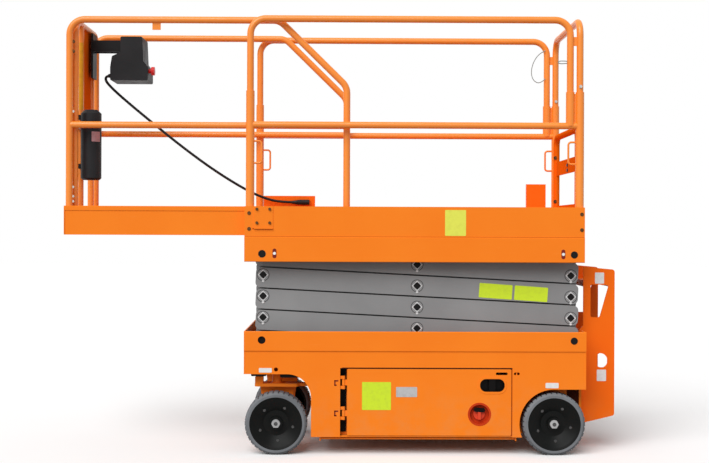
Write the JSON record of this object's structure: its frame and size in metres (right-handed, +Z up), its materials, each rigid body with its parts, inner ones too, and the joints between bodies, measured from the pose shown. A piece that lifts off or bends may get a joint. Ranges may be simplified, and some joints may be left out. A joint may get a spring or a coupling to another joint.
{
  "type": "self-propelled scissor lift",
  "caption": "Compact orange slab scissor lift with stowed crossed-arm stack, guard-railed platform, rolled-out deck extension, swing gate, rear ladder and steered front wheels.",
  "frame": {"origin": "ground level under the middle of the bounding box", "axes": "+X towards the ladder end, -X towards the deck extension, +Z up; the picture looks along +Y"},
  "size_m": [2.751, 0.76, 2.157],
  "materials": {
    "orange_paint": "gloss paint",
    "grey_paint": "satin paint",
    "black_paint": "satin paint",
    "steel": "satin",
    "chrome": "polished",
    "grey_rubber": "matt",
    "black_plastic": "matt",
    "white_plastic": "matt",
    "red_plastic": "gloss",
    "battery_case": "matt"
  },
  "bodies": {
    "chassis": {"chassis_sides": "orange_paint", "chassis_frame": "orange_paint", "steer_axle": "orange_paint", "arm_tracks": "black_paint", "battery_pack": "battery_case", "hydraulic_unit": "black_paint", "ladder": "orange_paint", "door_hinges": "orange_paint"},
    "door_near": {"door_near": "orange_paint", "door_handle_near": "black_plastic", "isolator_cup": "red_plastic", "isolator_knob": "black_plastic"},
    "door_far": {"door_far": "orange_paint", "door_handle_far": "black_plastic"},
    "guard_near": {"guard_near": "orange_paint"},
    "guard_far": {"guard_far": "orange_paint"},
    "knuckle_near": {"knuckle_near": "orange_paint"},
    "knuckle_far": {"knuckle_far": "orange_paint"},
    "tie_rod": {"tie_rod": "steel"},
    "lower_slider": {"lower_slider": "white_plastic"},
    "upper_slider": {"upper_slider": "white_plastic"},
    "lift_barrel": {"lift_barrel": "black_paint"},
    "lift_rod": {"lift_rod": "chrome"},
    "platform": {"platform_deck": "orange_paint", "platform_sides": "orange_paint", "deck_pads": "white_plastic", "main_sockets": "orange_paint", "main_hoops": "orange_paint", "rear_hoop": "orange_paint", "outlet_box": "orange_paint"},
    "gate": {"entry_gate": "orange_paint"},
    "extension": {"extension_deck": "orange_paint", "extension_toe": "orange_paint", "extension_side_rails": "orange_paint", "extension_front_rail": "orange_paint", "control_box": "black_plastic", "control_bracket": "black_paint", "stop_button": "red_plastic", "manual_canister": "black_plastic", "cable_box": "orange_paint", "cable_plug": "black_plastic", "control_cable": "black_plastic"},
    "outer_arm_1": {"outer_arm_1": "grey_paint"},
    "inner_arm_1": {"inner_arm_1": "grey_paint"},
    "outer_arm_2": {"outer_arm_2": "grey_paint"},
    "inner_arm_2": {"inner_arm_2": "grey_paint"},
    "outer_arm_3": {"outer_arm_3": "grey_paint"},
    "inner_arm_3": {"inner_arm_3": "grey_paint"},
    "outer_arm_4": {"outer_arm_4": "grey_paint"},
    "inner_arm_4": {"inner_arm_4": "grey_paint"},
    "wheel_front_near": {"rim_front_near": "black_paint", "tyre_front_near": "grey_rubber"},
    "wheel_front_far": {"rim_front_far": "black_paint", "tyre_front_far": "grey_rubber"},
    "wheel_rear_near": {"rim_rear_near": "black_paint", "tyre_rear_near": "grey_rubber"},
    "wheel_rear_far": {"rim_rear_far": "black_paint", "tyre_rear_far": "grey_rubber"}
  },
  "joints": [
    {"name": "lift", "type": "hinge", "parent": "chassis", "child": "outer_arm_1", "pos_m": [1.1375, 0, 0.562], "axis": [0, 1, 0], "range_deg": [0, 50]},
    {"name": "scissor_mid_1", "type": "hinge", "parent": "outer_arm_1", "child": "inner_arm_1", "pos_m": [0.372, 0, 0.61475], "axis": [0, 1, 0], "range_deg": [-100, 0]},
    {"name": "scissor_end_1", "type": "hinge", "parent": "inner_arm_1", "child": "outer_arm_2", "pos_m": [1.1375, 0, 0.6675], "axis": [0, 1, 0], "range_deg": [0, 100]},
    {"name": "scissor_mid_2", "type": "hinge", "parent": "outer_arm_2", "child": "inner_arm_2", "pos_m": [0.372, 0, 0.72025], "axis": [0, 1, 0], "range_deg": [-100, 0]},
    {"name": "scissor_end_2", "type": "hinge", "parent": "inner_arm_2", "child": "outer_arm_3", "pos_m": [1.1375, 0, 0.773], "axis": [0, 1, 0], "range_deg": [0, 100]},
    {"name": "scissor_mid_3", "type": "hinge", "parent": "outer_arm_3", "child": "inner_arm_3", "pos_m": [0.372, 0, 0.82575], "axis": [0, 1, 0], "range_deg": [-100, 0]},
    {"name": "scissor_end_3", "type": "hinge", "parent": "inner_arm_3", "child": "outer_arm_4", "pos_m": [1.1375, 0, 0.8785], "axis": [0, 1, 0], "range_deg": [0, 100]},
    {"name": "scissor_mid_4", "type": "hinge", "parent": "outer_arm_4", "child": "inner_arm_4", "pos_m": [0.372, 0, 0.93125], "axis": [0, 1, 0], "range_deg": [-100, 0]},
    {"name": "platform_level", "type": "hinge", "parent": "inner_arm_4", "child": "platform", "pos_m": [1.1375, 0, 0.984], "axis": [0, 1, 0], "range_deg": [0, 50]},
    {"name": "lower_slider_level", "type": "hinge", "parent": "inner_arm_1", "child": "lower_slider", "pos_m": [-0.3935, 0, 0.562], "axis": [0, 1, 0], "range_deg": [0, 50]},
    {"name": "upper_slider_level", "type": "hinge", "parent": "outer_arm_4", "child": "upper_slider", "pos_m": [-0.3935, 0, 0.984], "axis": [0, 1, 0], "range_deg": [-50, 0]},
    {"name": "cylinder_swing", "type": "hinge", "parent": "inner_arm_1", "child": "lift_barrel", "pos_m": [1.05494, 0, 0.70191], "axis": [0, 1, 0], "range_deg": [0, 105.93]},
    {"name": "cylinder_stroke", "type": "slide", "parent": "lift_barrel", "child": "lift_rod", "axis": [-0.9937, 0, 0.1119], "range_m": [0, 0.3703]},
    {"name": "guard_near_drop", "type": "hinge", "parent": "chassis", "child": "guard_near", "pos_m": [0.3595, -0.35, 0.078], "axis": [-1, 0, 0], "range_deg": [0, 90]},
    {"name": "guard_far_drop", "type": "hinge", "parent": "chassis", "child": "guard_far", "pos_m": [0.3595, 0.35, 0.078], "axis": [1, 0, 0], "range_deg": [0, 90]},
    {"name": "door_near_swing", "type": "hinge", "parent": "chassis", "child": "door_near", "pos_m": [0.0085, -0.366, 0.26], "axis": [0, 0, -1], "range_deg": [0, 100]},
    {"name": "door_far_swing", "type": "hinge", "parent": "chassis", "child": "door_far", "pos_m": [0.0085, 0.366, 0.26], "axis": [0, 0, 1], "range_deg": [0, 100]},
    {"name": "steer_near", "type": "hinge", "parent": "chassis", "child": "knuckle_near", "pos_m": [-0.323, -0.257, 0.34], "axis": [0, 0, 1], "range_deg": [-75, 75]},
    {"name": "steer_far", "type": "hinge", "parent": "chassis", "child": "knuckle_far", "pos_m": [-0.323, 0.257, 0.34], "axis": [0, 0, 1], "range_deg": [-75, 75]},
    {"name": "tie_rod_turn", "type": "hinge", "parent": "knuckle_near", "child": "tie_rod", "pos_m": [-0.173, -0.257, 0.359], "axis": [0, 0, 1], "range_deg": [-75, 75]},
    {"name": "roll_front_near", "type": "hinge", "parent": "knuckle_near", "child": "wheel_front_near", "pos_m": [-0.323, -0.38, 0.1525], "axis": [0, 1, 0], "continuous": true},
    {"name": "roll_front_far", "type": "hinge", "parent": "knuckle_far", "child": "wheel_front_far", "pos_m": [-0.323, 0.38, 0.1525], "axis": [0, 1, 0], "continuous": true},
    {"name": "roll_rear_near", "type": "hinge", "parent": "chassis", "child": "wheel_rear_near", "pos_m": [1.042, -0.38, 0.1525], "axis": [0, 1, 0], "continuous": true},
    {"name": "roll_rear_far", "type": "hinge", "parent": "chassis", "child": "wheel_rear_far", "pos_m": [1.042, 0.38, 0.1525], "axis": [0, 1, 0], "continuous": true},
    {"name": "extension_slide", "type": "slide", "parent": "platform", "child": "extension", "axis": [1, 0, 0], "range_m": [0, 0.88]},
    {"name": "gate_swing", "type": "hinge", "parent": "platform", "child": "gate", "pos_m": [1.1675, 0.2985, 1.35], "axis": [0, 0, 1], "range_deg": [-90, 0]}
  ],
  "couplings": [
    {"joint": "scissor_mid_1", "follows": "lift", "ratio": -2},
    {"joint": "scissor_end_1", "follows": "lift", "ratio": 2},
    {"joint": "scissor_mid_2", "follows": "lift", "ratio": -2},
    {"joint": "scissor_end_2", "follows": "lift", "ratio": 2},
    {"joint": "scissor_mid_3", "follows": "lift", "ratio": -2},
    {"joint": "scissor_end_3", "follows": "lift", "ratio": 2},
    {"joint": "scissor_mid_4", "follows": "lift", "ratio": -2},
    {"joint": "platform_level", "follows": "lift", "ratio": 1},
    {"joint": "lower_slider_level", "follows": "lift", "ratio": 1},
    {"joint": "upper_slider_level", "follows": "lift", "ratio": -1},
    {"joint": "cylinder_swing", "follows": "lift", "ratio": 2.1184},
    {"joint": "cylinder_stroke", "follows": "lift", "m_per_rad": 0.42422},
    {"joint": "guard_near_drop", "follows": "lift", "ratio": 1.8},
    {"joint": "guard_far_drop", "follows": "lift", "ratio": 1.8},
    {"joint": "steer_far", "follows": "steer_near", "ratio": 1},
    {"joint": "tie_rod_turn", "follows": "steer_near", "ratio": -1}
  ]
}
